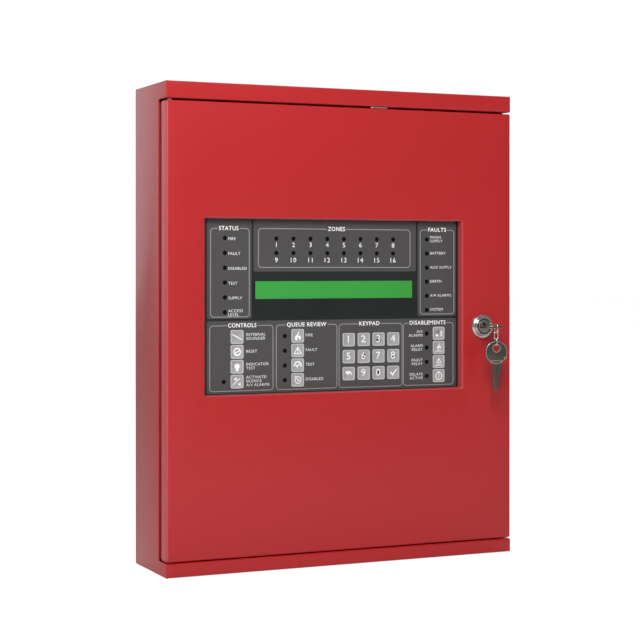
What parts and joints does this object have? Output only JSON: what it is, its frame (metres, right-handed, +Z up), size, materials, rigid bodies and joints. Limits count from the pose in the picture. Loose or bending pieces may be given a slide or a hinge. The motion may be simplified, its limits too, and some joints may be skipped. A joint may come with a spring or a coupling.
{
  "type": "fire alarm control panel",
  "caption": "Red wall-mounted fire alarm control panel: steel box, hinged door with recessed control fascia, cam lock with key and chained spare key.",
  "frame": {"origin": "centre of the back face, which rests on the wall", "axes": "+X to the right of a person facing the panel, +Y into the wall, +Z up"},
  "size_m": [0.345, 0.116, 0.433],
  "materials": {
    "red_paint": "semi-gloss powder coat",
    "zinc_steel": "bright zinc plate",
    "nickel": "polished nickel plate",
    "key_metal": "worn nickel plate",
    "circuit_board": "green solder mask",
    "green_terminal": "moulded",
    "black_plastic": "moulded",
    "battery_case": "moulded",
    "supply_cage": "perforated sheet",
    "transformer_iron": "varnished laminations and coil",
    "label_film": "printed film",
    "green_filter": "tinted window",
    "button_rubber": "moulded silicone keys with printed marks"
  },
  "bodies": {
    "cabinet": {"back_box": "red_paint", "hinge_pin_top": "zinc_steel", "hinge_pin_bottom": "zinc_steel", "catch_bracket": "zinc_steel", "chassis_plate": "zinc_steel", "main_board": "circuit_board", "terminal_strip_1": "green_terminal", "terminal_strip_2": "green_terminal", "power_supply": "supply_cage", "transformer": "transformer_iron", "mains_terminal": "black_plastic", "fuse_holder": "black_plastic", "earth_stud": "zinc_steel", "battery_left": "battery_case", "battery_right": "battery_case", "battery_stop": "zinc_steel"},
    "door": {"door_panel": "red_paint", "fascia_label": "label_film", "fascia_plate": "zinc_steel", "lcd_window": "green_filter", "lcd_module": "black_plastic", "display_board": "circuit_board", "internal_sounder": "black_plastic", "lock_body": "nickel", "lock_nut": "zinc_steel"},
    "plug": {"lock_plug": "nickel", "lock_cam": "zinc_steel", "cam_screw": "zinc_steel"},
    "key": {"key": "key_metal"},
    "chain_1": {"chain_link_1": "nickel"},
    "chain_2": {"chain_link_2": "nickel"},
    "chain_3": {"chain_link_3": "nickel"},
    "spare_key": {"spare_key": "key_metal"},
    "button_controls_1": {"button_controls_1": "button_rubber"},
    "button_controls_2": {"button_controls_2": "button_rubber"},
    "button_controls_3": {"button_controls_3": "button_rubber"},
    "button_controls_4": {"button_controls_4": "button_rubber"},
    "button_queue_1": {"button_queue_1": "button_rubber"},
    "button_queue_2": {"button_queue_2": "button_rubber"},
    "button_queue_3": {"button_queue_3": "button_rubber"},
    "button_queue_4": {"button_queue_4": "button_rubber"},
    "button_disable_1": {"button_disable_1": "button_rubber"},
    "button_disable_2": {"button_disable_2": "button_rubber"},
    "button_disable_3": {"button_disable_3": "button_rubber"},
    "button_disable_4": {"button_disable_4": "button_rubber"},
    "button_keypad_1": {"button_keypad_1": "button_rubber"},
    "button_keypad_2": {"button_keypad_2": "button_rubber"},
    "button_keypad_3": {"button_keypad_3": "button_rubber"},
    "button_keypad_4": {"button_keypad_4": "button_rubber"},
    "button_keypad_5": {"button_keypad_5": "button_rubber"},
    "button_keypad_6": {"button_keypad_6": "button_rubber"},
    "button_keypad_7": {"button_keypad_7": "button_rubber"},
    "button_keypad_8": {"button_keypad_8": "button_rubber"},
    "button_keypad_9": {"button_keypad_9": "button_rubber"},
    "button_keypad_10": {"button_keypad_10": "button_rubber"},
    "button_keypad_11": {"button_keypad_11": "button_rubber"},
    "button_keypad_12": {"button_keypad_12": "button_rubber"}
  },
  "joints": [
    {"name": "door_hinge", "type": "hinge", "parent": "cabinet", "child": "door", "pos_m": [-0.1665, -0.078, 0], "axis": [0, 0, -1], "range_deg": [0, 110]},
    {"name": "lock_turn", "type": "hinge", "parent": "door", "child": "plug", "pos_m": [0.1415, -0.086, -0.0017], "axis": [0, 1, 0], "range_deg": [0, 90]},
    {"name": "key_slide", "type": "slide", "parent": "plug", "child": "key", "axis": [0, -1, 0], "range_m": [0, 0.03]},
    {"name": "chain_1_swing", "type": "hinge", "parent": "key", "child": "chain_1", "pos_m": [0.1415, -0.1126, -0.0017], "axis": [1, 0, 0], "range_deg": [-12, 12]},
    {"name": "chain_2_swing", "type": "hinge", "parent": "chain_1", "child": "chain_2", "pos_m": [0.1415, -0.1126, -0.00707], "axis": [0, 1, 0], "range_deg": [-90, 0]},
    {"name": "chain_3_swing", "type": "hinge", "parent": "chain_2", "child": "chain_3", "pos_m": [0.1415, -0.1126, -0.01337], "axis": [0.9877, -0.1564, 0], "range_deg": [-12, 12]},
    {"name": "spare_key_swing", "type": "hinge", "parent": "chain_3", "child": "spare_key", "pos_m": [0.1415, -0.1126, -0.01927], "axis": [0.1564, 0.9877, 0], "range_deg": [-12, 12]},
    {"name": "press_controls_1", "type": "slide", "parent": "door", "child": "button_controls_1", "axis": [0, 1, 0], "range_m": [0, 0.0005], "stiffness_N_per_m": 3000},
    {"name": "press_controls_2", "type": "slide", "parent": "door", "child": "button_controls_2", "axis": [0, 1, 0], "range_m": [0, 0.0005], "stiffness_N_per_m": 3000},
    {"name": "press_controls_3", "type": "slide", "parent": "door", "child": "button_controls_3", "axis": [0, 1, 0], "range_m": [0, 0.0005], "stiffness_N_per_m": 3000},
    {"name": "press_controls_4", "type": "slide", "parent": "door", "child": "button_controls_4", "axis": [0, 1, 0], "range_m": [0, 0.0005], "stiffness_N_per_m": 3000},
    {"name": "press_queue_1", "type": "slide", "parent": "door", "child": "button_queue_1", "axis": [0, 1, 0], "range_m": [0, 0.0005], "stiffness_N_per_m": 3000},
    {"name": "press_queue_2", "type": "slide", "parent": "door", "child": "button_queue_2", "axis": [0, 1, 0], "range_m": [0, 0.0005], "stiffness_N_per_m": 3000},
    {"name": "press_queue_3", "type": "slide", "parent": "door", "child": "button_queue_3", "axis": [0, 1, 0], "range_m": [0, 0.0005], "stiffness_N_per_m": 3000},
    {"name": "press_queue_4", "type": "slide", "parent": "door", "child": "button_queue_4", "axis": [0, 1, 0], "range_m": [0, 0.0005], "stiffness_N_per_m": 3000},
    {"name": "press_disable_1", "type": "slide", "parent": "door", "child": "button_disable_1", "axis": [0, 1, 0], "range_m": [0, 0.0005], "stiffness_N_per_m": 3000},
    {"name": "press_disable_2", "type": "slide", "parent": "door", "child": "button_disable_2", "axis": [0, 1, 0], "range_m": [0, 0.0005], "stiffness_N_per_m": 3000},
    {"name": "press_disable_3", "type": "slide", "parent": "door", "child": "button_disable_3", "axis": [0, 1, 0], "range_m": [0, 0.0005], "stiffness_N_per_m": 3000},
    {"name": "press_disable_4", "type": "slide", "parent": "door", "child": "button_disable_4", "axis": [0, 1, 0], "range_m": [0, 0.0005], "stiffness_N_per_m": 3000},
    {"name": "press_keypad_1", "type": "slide", "parent": "door", "child": "button_keypad_1", "axis": [0, 1, 0], "range_m": [0, 0.0005], "stiffness_N_per_m": 3000},
    {"name": "press_keypad_2", "type": "slide", "parent": "door", "child": "button_keypad_2", "axis": [0, 1, 0], "range_m": [0, 0.0005], "stiffness_N_per_m": 3000},
    {"name": "press_keypad_3", "type": "slide", "parent": "door", "child": "button_keypad_3", "axis": [0, 1, 0], "range_m": [0, 0.0005], "stiffness_N_per_m": 3000},
    {"name": "press_keypad_4", "type": "slide", "parent": "door", "child": "button_keypad_4", "axis": [0, 1, 0], "range_m": [0, 0.0005], "stiffness_N_per_m": 3000},
    {"name": "press_keypad_5", "type": "slide", "parent": "door", "child": "button_keypad_5", "axis": [0, 1, 0], "range_m": [0, 0.0005], "stiffness_N_per_m": 3000},
    {"name": "press_keypad_6", "type": "slide", "parent": "door", "child": "button_keypad_6", "axis": [0, 1, 0], "range_m": [0, 0.0005], "stiffness_N_per_m": 3000},
    {"name": "press_keypad_7", "type": "slide", "parent": "door", "child": "button_keypad_7", "axis": [0, 1, 0], "range_m": [0, 0.0005], "stiffness_N_per_m": 3000},
    {"name": "press_keypad_8", "type": "slide", "parent": "door", "child": "button_keypad_8", "axis": [0, 1, 0], "range_m": [0, 0.0005], "stiffness_N_per_m": 3000},
    {"name": "press_keypad_9", "type": "slide", "parent": "door", "child": "button_keypad_9", "axis": [0, 1, 0], "range_m": [0, 0.0005], "stiffness_N_per_m": 3000},
    {"name": "press_keypad_10", "type": "slide", "parent": "door", "child": "button_keypad_10", "axis": [0, 1, 0], "range_m": [0, 0.0005], "stiffness_N_per_m": 3000},
    {"name": "press_keypad_11", "type": "slide", "parent": "door", "child": "button_keypad_11", "axis": [0, 1, 0], "range_m": [0, 0.0005], "stiffness_N_per_m": 3000},
    {"name": "press_keypad_12", "type": "slide", "parent": "door", "child": "button_keypad_12", "axis": [0, 1, 0], "range_m": [0, 0.0005], "stiffness_N_per_m": 3000}
  ],
  "couplings": [
    {"joint": "chain_2_swing", "follows": "lock_turn", "ratio": -1}
  ]
}
